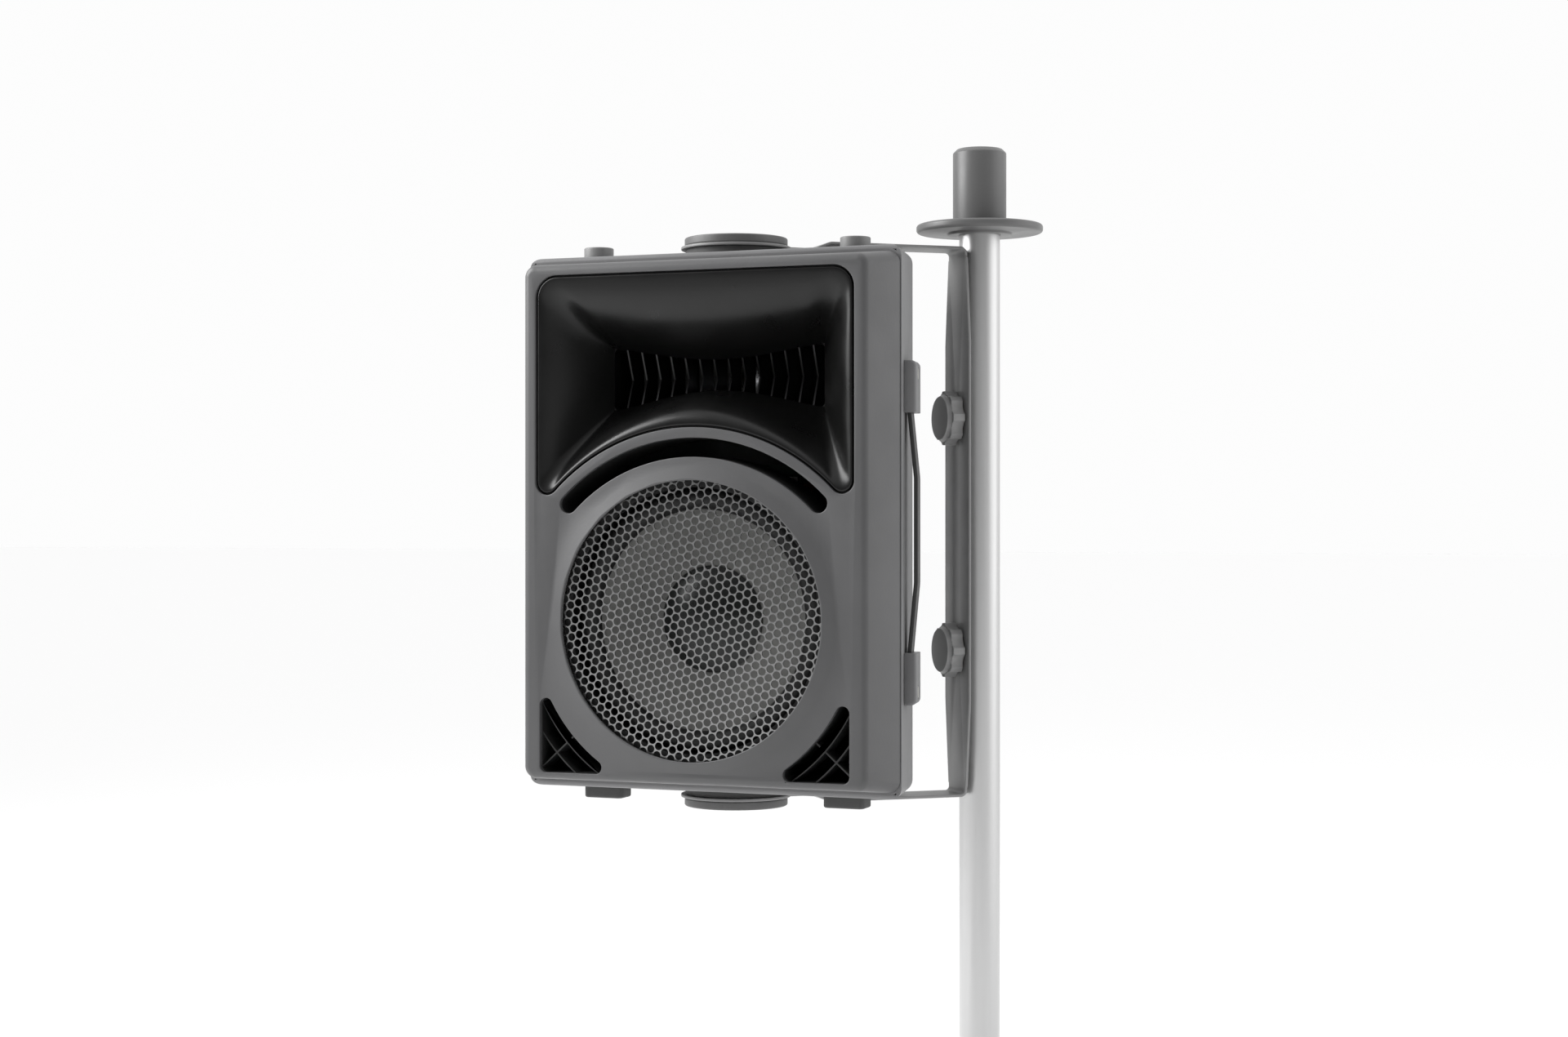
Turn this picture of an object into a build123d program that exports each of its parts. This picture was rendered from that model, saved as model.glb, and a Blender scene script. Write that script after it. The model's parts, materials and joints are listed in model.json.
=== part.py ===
from build123d import *
import os
from math import cos, radians, sin, sqrt

# A compact two-way PA speaker, held by pivot discs in a steel yoke that is clamped to a stand pole.
# Millimetres. The origin is the centre of the pole's foot, +Z is up, and the speaker faces -Y.

os.makedirs("parts", exist_ok=True)

# --- driving dimensions -------------------------------------------------------------------------

# Pole and the spigot that it carries for a second cabinet.
POLE_R = 14.5
POLE_WALL = 2.0
POLE_TOP = 690.0
FOOT_GROOVE = (56.0, 59.0, 0.6)  # from, to, depth: marks how far the foot goes into a base
SPIGOT_R = 19.0
SPIGOT_TOP = 695.4
FLANGE_R = 45.0
FLANGE_BOTTOM = 635.6
FLANGE_TOP = 641.6

# The yoke's arms point from the cabinet's pivot axis to the pole.
ARM_ANGLE = 39.5
PIVOT_TO_POLE = 181.6
CABINET_Z = 430.0
PIVOT_DEPTH = 79.4
STEEL = 2.0
EYE_R = 38.0
EYE_Z = 187.1
ARM_Z = 192.1
ARM_WIDTH = 30.0
JOGGLE = (52.0, 64.0)
SPINE_FACE = 164.0
SPINE_HALF = 22.0
KNOB_HEIGHTS = (73.4, -91.0)

# Cabinet: flared front frame, then a tapering rear shell. Half sizes at each depth.
FACE_HALF_W = 122.3
FACE_HALF_H = 173.2
FRAME_DEPTH = 32.0
FRAME_HALF_W = 135.0
FRAME_HALF_H = 177.2
FRAME_WALL = 3.0
FACE_WALL = 4.0
CORNER_R = 8.0
SHELL_FRONT = 33.5
SHELL_HALF_W = 135.3
HALF_H = 182.0
WAIST_DEPTH = 90.0
WAIST_HALF_W = 124.6
BACK_DEPTH = 213.0
BACK_HALF_W = 72.0
SHELL_WALL = 3.5
BROW_R = 3.5
RIM_OPENING = (255.0, 342.4)
RIM_DEPTH = 3.5
TONGUE_WALL = 2.0
TONGUE_REACH = 6.0

# Openings in the front face.
HORN_HALF_W = 114.3
HORN_TOP = 166.4
HORN_GAP = 1.2
ARC_Z = -77.0
HORN_ARC_R = 139.6
SLOT_MID_R = 126.3
SLOT_WIDTH = 12.6
SLOT_HALF_ANGLE = 45.2
WOOFER_Z = -65.5
GRILLE_R = 93.0
COLLAR_R = 101.0
COLLAR_RISE = 4.0
VENT_OUTER = 111.0
VENT_BOTTOM = -169.2
VENT_ARC_R = 116.6
VENT_CORNER_R = 4.6
FIN_RADII = (124.7, 135.2)
FIN_WALL = 1.2
FIN_RIB_ANGLE = -42.0

# Horn throat.
THROAT_DEPTH = 47.0
THROAT_HALF_W = 77.0
THROAT_Z = 97.8
THROAT_HALF_H = 21.1
VANE_COUNT = 14
VANE_PITCH = 10.5
VANE_NOTCH = 10.0

# Woofer, in radius and depth behind the front face.
CONE_R = 74.0
CONE_EDGE_DEPTH = 20.0
COIL_R = 19.5
COIL_DEPTH = 46.0
CAP_R = 36.0
BASKET_R = 103.0

# Gaps.
RUNNING = 0.05
CLEAR = 0.3

# --- frames of reference ------------------------------------------------------------------------

ARM = Vector(cos(radians(ARM_ANGLE)), sin(radians(ARM_ANGLE)), 0)
ACROSS = Vector(-sin(radians(ARM_ANGLE)), cos(radians(ARM_ANGLE)), 0)
PIVOT = Vector(0, 0, CABINET_Z) - ARM * PIVOT_TO_POLE


def at(x, depth, z):
    """A point given from the centre of the cabinet's front face."""
    return Vector(PIVOT.X + x, PIVOT.Y - PIVOT_DEPTH + depth, CABINET_Z + z)


def facing(depth, x=0.0, z=0.0):
    """A plane parallel to the front face at a depth, with X right, Y up and its normal forward."""
    return Plane(origin=at(x, depth, z), x_dir=(1, 0, 0), z_dir=(0, -1, 0))


def level(z, x=0.0, y=0.0):
    """A horizontal plane with its normal up."""
    return Plane(origin=(x, y, z))


def on_pivot(z):
    """A horizontal plane on the cabinet's pivot axis, at a height from the cabinet's centre."""
    return Plane(origin=(PIVOT.X, PIVOT.Y, CABINET_Z + z))


def along_arm(distance, z, towards_pole=True):
    """A plane across the yoke's arms at a distance from the pivot axis."""
    sense = 1 if towards_pole else -1
    origin = PIVOT + ARM * distance + Vector(0, 0, z)
    return Plane(origin=origin, x_dir=ACROSS * sense, z_dir=ARM * sense)


def lathe(points, x=0.0, z=0.0):
    """Turn a profile of (radius, depth) points about an axis that runs straight back."""
    centre = at(x, 0, z)
    with BuildPart() as turned:
        with BuildSketch(Plane(origin=centre)):
            with BuildLine():
                Polyline(*points, close=True)
            make_face()
        revolve(axis=Axis(centre, (0, 1, 0)))
    return turned.part


def save(part, name):
    part.label = name
    export_step(part, f"parts/{name}.step")


# --- the stand: pole, spigot, flange and yoke ---------------------------------------------------

with BuildPart() as pole_tube:
    with BuildSketch():
        Circle(POLE_R)
        Circle(POLE_R - POLE_WALL, mode=Mode.SUBTRACT)
    extrude(amount=POLE_TOP)
    with BuildSketch(Plane.XY.offset(FOOT_GROOVE[0])):
        Circle(POLE_R)
        Circle(POLE_R - FOOT_GROOVE[2], mode=Mode.SUBTRACT)
    extrude(amount=FOOT_GROOVE[1] - FOOT_GROOVE[0], mode=Mode.SUBTRACT)
    for height in KNOB_HEIGHTS:
        with BuildSketch(along_arm(PIVOT_TO_POLE - POLE_R - 2, height)):
            Circle(5.4)
        extrude(amount=POLE_WALL + 4, mode=Mode.SUBTRACT)
save(pole_tube.part, "pole_tube")

with BuildPart() as pole_end_plug:
    with BuildSketch():
        Circle(POLE_R - POLE_WALL)
        Circle(8, mode=Mode.SUBTRACT)
    extrude(amount=14)
    chamfer(pole_end_plug.edges().group_by(Axis.Z)[-1], 1)
save(pole_end_plug.part, "pole_end_plug")

with BuildPart() as spigot_sleeve:
    with BuildSketch(level(FLANGE_TOP)):
        Circle(SPIGOT_R)
    extrude(amount=SPIGOT_TOP - FLANGE_TOP)
    chamfer(spigot_sleeve.edges().group_by(Axis.Z)[-1], 3)
    with BuildSketch(level(FLANGE_TOP)):
        Circle(POLE_R)
    extrude(amount=POLE_TOP - FLANGE_TOP, mode=Mode.SUBTRACT)
save(spigot_sleeve.part, "spigot_sleeve")

with BuildPart() as spigot_flange:
    with BuildSketch(level(FLANGE_BOTTOM)):
        Circle(FLANGE_R)
    extrude(amount=FLANGE_TOP - FLANGE_BOTTOM)
    fillet(spigot_flange.edges(), 2.2)
    with BuildSketch(level(FLANGE_BOTTOM - 1.6)):
        Circle(23)
    extrude(amount=2.6)
    with BuildSketch(level(FLANGE_BOTTOM - 1.6)):
        Circle(POLE_R)
    extrude(amount=FLANGE_TOP - FLANGE_BOTTOM + 1.6, mode=Mode.SUBTRACT)
save(spigot_flange.part, "spigot_flange")

with BuildPart() as yoke:
    eye_mid = EYE_Z + STEEL / 2
    arm_mid = ARM_Z + STEEL / 2
    spine_mid = SPINE_FACE + STEEL / 2
    upper = ((0, eye_mid), (JOGGLE[0], eye_mid), (JOGGLE[1], arm_mid), (spine_mid, arm_mid))
    lower = tuple((t, -z) for t, z in reversed(upper))
    with BuildLine(Plane(origin=PIVOT, x_dir=ARM, z_dir=ARM.cross(Vector(0, 0, 1)))) as strap_line:
        FilletPolyline(*upper, *lower, radius=(8, 8, 4, 4, 8, 8))
    with BuildSketch(Plane(origin=strap_line.line @ 0, x_dir=ACROSS, z_dir=ARM)):
        Rectangle(ARM_WIDTH, STEEL)
    sweep()
    with BuildSketch(on_pivot(EYE_Z), on_pivot(-EYE_Z - STEEL)):
        Circle(EYE_R)
    extrude(amount=STEEL)
    with BuildSketch(along_arm(SPINE_FACE, 0)):
        with BuildLine():
            Polyline(
                (-16, -187), (-SPINE_HALF, -126), (-SPINE_HALF, 126), (-16, 187),
                (16, 187), (SPINE_HALF, 126), (SPINE_HALF, -126), (16, -187), close=True,
            )
        make_face()
    extrude(amount=STEEL)
    with BuildSketch(on_pivot(-EYE_Z - 2 * STEEL)):
        Circle(5.2)
    extrude(amount=2 * EYE_Z + 4 * STEEL, mode=Mode.SUBTRACT)
    for height in KNOB_HEIGHTS:
        with BuildSketch(along_arm(SPINE_FACE - 1, height)):
            Circle(4.5)
        extrude(amount=STEEL + 2, mode=Mode.SUBTRACT)
save(yoke.part, "yoke")

# Threaded inserts in the pole's wall: their flanges carry the spine.
with BuildPart() as pole_rivet_nuts:
    for height in KNOB_HEIGHTS:
        seat = SPINE_FACE + STEEL
        with BuildSketch(along_arm(seat, height)):
            Circle(7)
        extrude(amount=PIVOT_TO_POLE - POLE_R - seat)
        with BuildSketch(along_arm(PIVOT_TO_POLE - POLE_R, height)):
            Circle(5.4)
        extrude(amount=12)
        with BuildSketch(along_arm(seat, height)):
            Circle(4)
        extrude(amount=20, mode=Mode.SUBTRACT)
save(pole_rivet_nuts.part, "pole_rivet_nuts")

with BuildPart() as knob_washers:
    for height in KNOB_HEIGHTS:
        with BuildSketch(along_arm(SPINE_FACE, height, towards_pole=False)):
            Circle(9.5)
            Circle(4.6, mode=Mode.SUBTRACT)
        extrude(amount=1)
save(knob_washers.part, "knob_washers")


# --- clamp knobs: eight-lobed skirt, round cap and a threaded stud ------------------------------

def clamp_knob(height):
    with BuildPart() as knob:
        with BuildSketch(along_arm(SPINE_FACE - 1 - CLEAR, height, towards_pole=False)):
            Circle(19.2)
            with PolarLocations(25.2, 8, start_angle=22.5):
                Circle(8.4, mode=Mode.SUBTRACT)
        extrude(amount=9)
        with BuildSketch(along_arm(SPINE_FACE - 10 - CLEAR, height, towards_pole=False)):
            Circle(17)
        with BuildSketch(along_arm(SPINE_FACE - 12 - CLEAR, height, towards_pole=False)):
            Circle(15.5)
        loft()
        with BuildSketch(along_arm(SPINE_FACE - 12 - CLEAR, height, towards_pole=False)):
            Circle(15.5)
        extrude(amount=1)
        with BuildSketch(along_arm(SPINE_FACE, height, towards_pole=False)):
            Circle(4)
        extrude(amount=9, mode=Mode.SUBTRACT)
    return knob.part


def clamp_stud(height):
    with BuildPart() as stud:
        with BuildSketch(along_arm(SPINE_FACE - 9, height)):
            Circle(4 - RUNNING)
        extrude(amount=22)
        chamfer(stud.edges(), 0.8)
    return stud.part


for side, knob_height in zip(("upper", "lower"), KNOB_HEIGHTS):
    save(clamp_knob(knob_height), f"{side}_knob")
    save(clamp_stud(knob_height), f"{side}_knob_stud")


# --- pivots above and below the cabinet ---------------------------------------------------------

def pivot_insert(sign):
    """A threaded steel bush, moulded into the cabinet's wall."""
    with BuildPart() as insert:
        with BuildSketch(on_pivot(sign * HALF_H)):
            Circle(11)
        extrude(amount=-sign * 22)
        with BuildSketch(on_pivot(sign * (HALF_H - 8))):
            Circle(16)
        extrude(amount=-sign * 3)
        with BuildSketch(on_pivot(sign * HALF_H)):
            Circle(5)
        extrude(amount=-sign * 22, mode=Mode.SUBTRACT)
    return insert.part


def pivot_pad(sign):
    """A rubber friction disc between the cabinet and the yoke's eye."""
    with BuildPart() as pad:
        with BuildSketch(on_pivot(sign * HALF_H)):
            Circle(35)
            Circle(5.4, mode=Mode.SUBTRACT)
        extrude(amount=sign * (EYE_Z - CLEAR - HALF_H))
    return pad.part


def pivot_wheel(sign):
    """A hand wheel with a dished face, over the yoke's eye."""
    under = EYE_Z + STEEL + CLEAR
    with BuildPart() as wheel:
        with BuildSketch(on_pivot(sign * under)):
            Circle(35.5)
        extrude(amount=sign * (195.2 - under))
        fillet(wheel.edges(), 1.2)
        with BuildSketch(on_pivot(sign * 195.2)):
            Circle(29)
            Circle(12, mode=Mode.SUBTRACT)
        extrude(amount=-sign * 2, mode=Mode.SUBTRACT)
        with BuildSketch(on_pivot(sign * under)):
            Circle(5)
        extrude(amount=sign * 4, mode=Mode.SUBTRACT)
    return wheel.part


def pivot_stud(sign):
    with BuildPart() as stud:
        with BuildSketch(on_pivot(sign * (EYE_Z + STEEL + CLEAR + 4))):
            Circle(5 - RUNNING)
        extrude(amount=-sign * 30)
        chamfer(stud.edges(), 0.8)
    return stud.part


for name, sign in (("top", 1), ("bottom", -1)):
    save(pivot_insert(sign), f"pivot_insert_{name}")
    save(pivot_pad(sign), f"pivot_pad_{name}")
    save(pivot_wheel(sign), f"{name}_wheel")
    save(pivot_stud(sign), f"{name}_wheel_stud")


# --- outlines of the openings in the front face -------------------------------------------------

with BuildSketch() as horn_outline:
    with Locations((0, HORN_TOP / 2 - 5)):
        Rectangle(2 * HORN_HALF_W, HORN_TOP + 10)
    with Locations((0, ARC_Z)):
        Circle(HORN_ARC_R, mode=Mode.SUBTRACT)
    fillet(horn_outline.vertices().group_by(Axis.Y)[-1], 15)
    fillet(horn_outline.vertices().group_by(Axis.Y)[0], 8.5)

with BuildLine() as slot_line:
    CenterArc((0, ARC_Z), SLOT_MID_R, 90 - SLOT_HALF_ANGLE, 2 * SLOT_HALF_ANGLE)
with BuildSketch() as slot_outline:
    SlotArc(slot_line.edges()[0], SLOT_WIDTH)

# Each vent is the corner that a circle about the woofer leaves of a square.
VENT_SQUARE = 75.0
with BuildSketch() as vent_outline:
    with Locations((VENT_OUTER - VENT_SQUARE / 2, VENT_BOTTOM + VENT_SQUARE / 2)):
        Rectangle(VENT_SQUARE, VENT_SQUARE)
    with Locations((0, WOOFER_Z)):
        Circle(VENT_ARC_R, mode=Mode.SUBTRACT)
    fillet(vent_outline.vertices(), VENT_CORNER_R)

# Six cabinet screws run forward from the back into bosses behind the front face.
SCREW_PLACES = ((-50, 166), (50, 166), (-50, -166), (50, -166))

# --- cabinet: front frame and rear shell --------------------------------------------------------

with BuildPart() as front_frame:
    with BuildSketch(facing(0)):
        RectangleRounded(2 * FACE_HALF_W, 2 * FACE_HALF_H, CORNER_R)
    with BuildSketch(facing(FRAME_DEPTH)):
        RectangleRounded(2 * FRAME_HALF_W, 2 * FRAME_HALF_H, CORNER_R)
    loft()
    fillet(front_frame.faces().sort_by(Axis.Y)[0].edges(), 5.5)
    flare_w = (FRAME_HALF_W - FACE_HALF_W) / FRAME_DEPTH
    flare_h = (FRAME_HALF_H - FACE_HALF_H) / FRAME_DEPTH
    for depth in (FACE_WALL, FRAME_DEPTH + 1):
        inner_w = FACE_HALF_W + flare_w * depth - FRAME_WALL
        inner_h = FACE_HALF_H + flare_h * depth - FRAME_WALL
        with BuildSketch(facing(depth)):
            RectangleRounded(2 * inner_w, 2 * inner_h, CORNER_R - FRAME_WALL)
    loft(mode=Mode.SUBTRACT)
    for boss_x, boss_z in SCREW_PLACES:
        boss_depth = FACE_WALL if abs(boss_x) > 100 else 14
        with BuildSketch(facing(27, boss_x, boss_z)):
            Circle(4.5)
        extrude(amount=27 - boss_depth)
        if abs(boss_x) < 100:
            with BuildSketch(facing(27, boss_x, boss_z + (4.5 if boss_z > 0 else -4.5))):
                Rectangle(4, 7)
            extrude(amount=13)
        with BuildSketch(facing(27, boss_x, boss_z)):
            Circle(2)
        extrude(amount=12, mode=Mode.SUBTRACT)
    with BuildSketch(Plane(origin=at(0, 0, WOOFER_Z))):
        with BuildLine():
            Polyline(
                (COLLAR_R, 1), (COLLAR_R, 0), (GRILLE_R + 1.5, -COLLAR_RISE), (GRILLE_R, -COLLAR_RISE),
                (GRILLE_R, 1), close=True,
            )
        make_face()
    revolve(axis=Axis(at(0, 0, WOOFER_Z), (0, 1, 0)))
    with BuildSketch(facing(FACE_WALL + 1)):
        add(horn_outline.sketch)
        add(slot_outline.sketch)
        add(vent_outline.sketch)
        mirror(vent_outline.sketch, about=Plane.YZ)
        with Locations((0, WOOFER_Z)):
            Circle(GRILLE_R)
    extrude(amount=FACE_WALL + 10, mode=Mode.SUBTRACT)
    with BuildSketch(facing(FACE_WALL + 1, 0, WOOFER_Z)):
        Circle(GRILLE_R + 3)
    extrude(amount=FACE_WALL + 2.5, mode=Mode.SUBTRACT)
save(front_frame.part, "front_frame")


def shell_plan(height, inset, front):
    """The shell's plan outline, from its front rim round to its back."""
    with BuildSketch(Plane(origin=at(0, 0, height))) as plan:
        with BuildLine():
            slope = (WAIST_HALF_W - SHELL_HALF_W) / (WAIST_DEPTH - SHELL_FRONT)
            rim = SHELL_HALF_W + slope * (front - SHELL_FRONT) - inset
            waist = WAIST_HALF_W - inset
            back = BACK_HALF_W - inset * 0.6
            rear = BACK_DEPTH - inset
            Polyline(
                (rim, front), (waist, WAIST_DEPTH), (back, rear),
                (-back, rear), (-waist, WAIST_DEPTH), (-rim, front), close=True,
            )
        make_face()
        corners = plan.vertices().group_by(Axis.Y)
        fillet(corners[1], 30)
        fillet(plan.vertices().group_by(Axis.Y)[-1], 20 - inset)
    return plan.sketch


PANEL_Z = -95.0
PANEL_POCKET = 11.0
BOARD_Z = 8.0
BOARD_DEPTH = 196.0
BOARD_PEGS = ((-48, BOARD_Z - 28), (48, BOARD_Z - 28), (-48, BOARD_Z + 28), (48, BOARD_Z + 28))

with BuildPart() as shell_hollow:
    add(shell_plan(-HALF_H + SHELL_WALL, SHELL_WALL, SHELL_FRONT - 5))
    extrude(amount=2 * (HALF_H - SHELL_WALL))
    for well_x, well_z in SCREW_PLACES:
        with BuildSketch(facing(SHELL_FRONT - 6, well_x, well_z)):
            Circle(5.5)
        extrude(amount=-BACK_DEPTH, mode=Mode.SUBTRACT)
    for peg_x, peg_z in BOARD_PEGS:
        with BuildSketch(facing(BOARD_DEPTH + 1.6, peg_x, peg_z)):
            Circle(4)
        extrude(amount=-20, mode=Mode.SUBTRACT)
    with BuildSketch(facing(BACK_DEPTH - PANEL_POCKET - SHELL_WALL, 0, PANEL_Z)):
        Rectangle(118, 78)
    extrude(amount=-20, mode=Mode.SUBTRACT)

with BuildPart() as rear_shell:
    add(shell_plan(-HALF_H, 0, SHELL_FRONT))
    extrude(amount=2 * HALF_H)
    rim_edges = [
        edge for level_edges in (
            rear_shell.edges().group_by(Axis.Z)[0], rear_shell.edges().group_by(Axis.Z)[-1],
        ) for edge in level_edges if edge.center().Y > at(0, SHELL_FRONT + 1, 0).Y
    ]
    fillet(rim_edges, CORNER_R)
    for side in (1, -1):
        brow = at(0, SHELL_FRONT + BROW_R, side * (HALF_H - BROW_R))
        with BuildSketch(Plane(origin=brow, x_dir=(0, 1, 0), z_dir=(1, 0, 0))):
            with Locations((-BROW_R / 2 - 1, side * (BROW_R / 2 + 1))):
                Rectangle(BROW_R + 2, BROW_R + 2)
            Circle(BROW_R, mode=Mode.SUBTRACT)
        extrude(amount=SHELL_HALF_W + 5, both=True, mode=Mode.SUBTRACT)
    add(shell_hollow.part, mode=Mode.SUBTRACT)
    with BuildSketch(facing(SHELL_FRONT)):
        RectangleRounded(2 * SHELL_HALF_W - 1, 2 * (HALF_H - BROW_R) + 1, CORNER_R)
        RectangleRounded(*RIM_OPENING, 4, mode=Mode.SUBTRACT)
    extrude(amount=-RIM_DEPTH)
    with BuildSketch(facing(SHELL_FRONT)):
        RectangleRounded(RIM_OPENING[0] + 2 * TONGUE_WALL, RIM_OPENING[1] + 2 * TONGUE_WALL, 6)
        RectangleRounded(*RIM_OPENING, 4, mode=Mode.SUBTRACT)
    extrude(amount=TONGUE_REACH)
    for well_x, well_z in SCREW_PLACES:
        with BuildSketch(facing(SHELL_FRONT - 6, well_x, well_z)):
            Circle(5.5)
        extrude(amount=-10)
        with BuildSketch(facing(45, well_x, well_z)):
            Circle(3.6)
        extrude(amount=-BACK_DEPTH, mode=Mode.SUBTRACT)
        with BuildSketch(facing(SHELL_FRONT - 7, well_x, well_z)):
            Circle(2.2)
        extrude(amount=-20, mode=Mode.SUBTRACT)
    with BuildSketch(facing(BACK_DEPTH, 0, PANEL_Z)):
        RectangleRounded(110, 70, 5)
    extrude(amount=PANEL_POCKET, mode=Mode.SUBTRACT)
    with BuildSketch(facing(BACK_DEPTH - 20, 0, PANEL_Z)):
        with GridLocations(44, 0, 2, 1):
            Circle(13.4)
    extrude(amount=-30, mode=Mode.SUBTRACT)
    with BuildSketch(on_pivot(-HALF_H - 1)):
        Circle(11)
    extrude(amount=2 * HALF_H + 2, mode=Mode.SUBTRACT)
save(rear_shell.part, "rear_shell")

with BuildPart() as cabinet_screws:
    for screw_x, screw_z in SCREW_PLACES:
        with BuildSketch(facing(45, screw_x, screw_z)):
            Circle(3.4)
        extrude(amount=-2.4)
        with BuildSketch(facing(45, screw_x, screw_z)):
            Circle(1.9)
        extrude(amount=28)
save(cabinet_screws.part, "cabinet_screws")

# --- grille -------------------------------------------------------------------------------------

save(lathe(((0, -1.4), (95.7, -1.4), (95.7, 4), (94.7, 4), (94.7, -0.4), (0, -0.4)), z=WOOFER_Z), "grille")

# --- ports: one arc-shaped duct above the grille and a finned duct in each lower corner ---------

PORT_WALL = 1.5
PORT_END = 40.0

with BuildPart() as arc_port:
    with BuildSketch(facing(FACE_WALL)):
        add(slot_outline.sketch)
        offset(amount=PORT_WALL)
        add(slot_outline.sketch, mode=Mode.SUBTRACT)
    extrude(amount=-(PORT_END - FACE_WALL))
save(arc_port.part, "arc_port")

with BuildPart() as corner_port_right:
    with BuildSketch(facing(FACE_WALL)):
        add(vent_outline.sketch)
        offset(amount=PORT_WALL)
        add(vent_outline.sketch, mode=Mode.SUBTRACT)
    extrude(amount=-(PORT_END - FACE_WALL))
    with BuildSketch(facing(FACE_WALL + 1)) as fins:
        with Locations((0, WOOFER_Z)):
            for fin_r in reversed(FIN_RADII):
                Circle(fin_r + FIN_WALL / 2)
                Circle(fin_r - FIN_WALL / 2, mode=Mode.SUBTRACT)
            with PolarLocations(FIN_RADII[1], 1, start_angle=FIN_RIB_ANGLE):
                Rectangle(50, FIN_WALL)
        add(vent_outline.sketch, mode=Mode.INTERSECT)
    extrude(amount=-16)
save(corner_port_right.part, "corner_port_right")

with BuildPart() as corner_port_left:
    add(mirror(corner_port_right.part, about=Plane(origin=at(0, 0, 0), z_dir=(1, 0, 0)), mode=Mode.PRIVATE))
save(corner_port_left.part, "corner_port_left")

# --- horn and the parts behind it ---------------------------------------------------------------

HORN_LIP = 0.4
HORN_FLANGE = 3.2

with BuildPart() as horn_space:
    with BuildSketch(facing(HORN_LIP - 0.01)) as horn_mouth:
        add(horn_outline.sketch)
        offset(amount=-(HORN_GAP + 2))
    with BuildSketch(facing(THROAT_DEPTH + 0.01, 0, THROAT_Z)):
        RectangleRounded(2 * THROAT_HALF_W, 2 * THROAT_HALF_H, 3)
    loft()

with BuildPart() as horn:
    with BuildSketch(facing(HORN_LIP)):
        add(horn_outline.sketch)
        offset(amount=-HORN_GAP)
    with BuildSketch(facing(THROAT_DEPTH, 0, THROAT_Z)):
        RectangleRounded(2 * THROAT_HALF_W + 5, 2 * THROAT_HALF_H + 5, 5)
    loft()
    with BuildSketch(facing(FACE_WALL)):
        add(horn_outline.sketch)
        offset(amount=HORN_FLANGE)
    extrude(amount=-3)
    add(horn_space.part, mode=Mode.SUBTRACT)
save(horn.part, "horn")

VANE_FRAME_END = 75.0

with BuildPart() as throat_vanes:
    with BuildSketch(facing(THROAT_DEPTH, 0, THROAT_Z)):
        RectangleRounded(2 * THROAT_HALF_W + 5, 2 * THROAT_HALF_H + 5, 5)
        RectangleRounded(2 * THROAT_HALF_W, 2 * THROAT_HALF_H, 3, mode=Mode.SUBTRACT)
    extrude(amount=THROAT_DEPTH - VANE_FRAME_END)
    for vane in range(VANE_COUNT):
        vane_x = (vane - (VANE_COUNT - 1) / 2) * VANE_PITCH
        vane_plane = Plane(origin=at(vane_x - 0.6, 0, THROAT_Z), x_dir=(0, 1, 0), z_dir=(1, 0, 0))
        with BuildSketch(vane_plane):
            with BuildLine():
                Polyline(
                    (THROAT_DEPTH + 1, THROAT_HALF_H + 1), (THROAT_DEPTH + 1 + VANE_NOTCH, 0),
                    (THROAT_DEPTH + 1, -THROAT_HALF_H - 1), (VANE_FRAME_END, -THROAT_HALF_H - 1),
                    (VANE_FRAME_END, THROAT_HALF_H + 1), close=True,
                )
            make_face()
        extrude(amount=1.2)
save(throat_vanes.part, "throat_vanes")

ADAPTER_END = 103.0
DRIVER_BORE = 12.5

with BuildPart() as throat_adapter:
    with BuildSketch(facing(VANE_FRAME_END, 0, THROAT_Z)):
        Rectangle(2 * THROAT_HALF_W + 5, 2 * THROAT_HALF_H + 5)
    with BuildSketch(facing(ADAPTER_END, 0, THROAT_Z)):
        Rectangle(34, 34)
    loft()
    with BuildSketch(facing(ADAPTER_END - 5, 0, THROAT_Z)):
        Circle(42)
    extrude(amount=-5)
    with BuildSketch(facing(VANE_FRAME_END - 0.01, 0, THROAT_Z)):
        Rectangle(2 * THROAT_HALF_W, 2 * THROAT_HALF_H)
    with BuildSketch(facing(ADAPTER_END - 6, 0, THROAT_Z)):
        Rectangle(22, 22)
    loft(mode=Mode.SUBTRACT)
    with BuildSketch(facing(ADAPTER_END - 12, 0, THROAT_Z)):
        Circle(DRIVER_BORE)
    extrude(amount=-20, mode=Mode.SUBTRACT)
save(throat_adapter.part, "throat_adapter")

save(lathe(((23, 103), (40, 103), (40, 127), (23, 127)), z=THROAT_Z), "hf_magnet")
save(lathe(((DRIVER_BORE, 103), (20.8, 103), (20.8, 127), (DRIVER_BORE, 127)), z=THROAT_Z), "hf_pole_plug")
save(
    lathe(
        ((36, 127), (39, 127), (39, 148), (36, 151), (0, 151), (0, 148), (34, 148), (36, 146)),
        z=THROAT_Z,
    ),
    "hf_cover",
)
save(lathe(((22.4, 128.2), (36, 128.2), (36, 128.8), (22.4, 128.8)), z=THROAT_Z), "hf_suspension")


def dome(x, z, rim_r, rim_depth, rise, thickness, sense):
    """A thin spherical cap. Its crown is forward of its rim when sense is -1."""
    centre = at(x, 0, z)
    sphere_r = (rim_r**2 + rise**2) / (2 * rise)
    sphere_depth = rim_depth + sense * (rise - sphere_r)
    crown = rim_depth + sense * rise
    middle = sphere_depth + sense * sqrt(sphere_r**2 - rim_r**2 / 4)
    with BuildPart() as cap:
        with BuildSketch(Plane(origin=centre)):
            with BuildLine():
                ThreePointArc((rim_r, rim_depth), (rim_r / 2, middle), (0, crown))
                Polyline((0, crown), (0, crown + thickness))
                ThreePointArc(
                    (0, crown + thickness), (rim_r / 2, middle + thickness), (rim_r, rim_depth + thickness)
                )
                Polyline((rim_r, rim_depth + thickness), (rim_r, rim_depth))
            make_face()
        revolve(axis=Axis(centre, (0, 1, 0)))
    return cap.part


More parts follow.
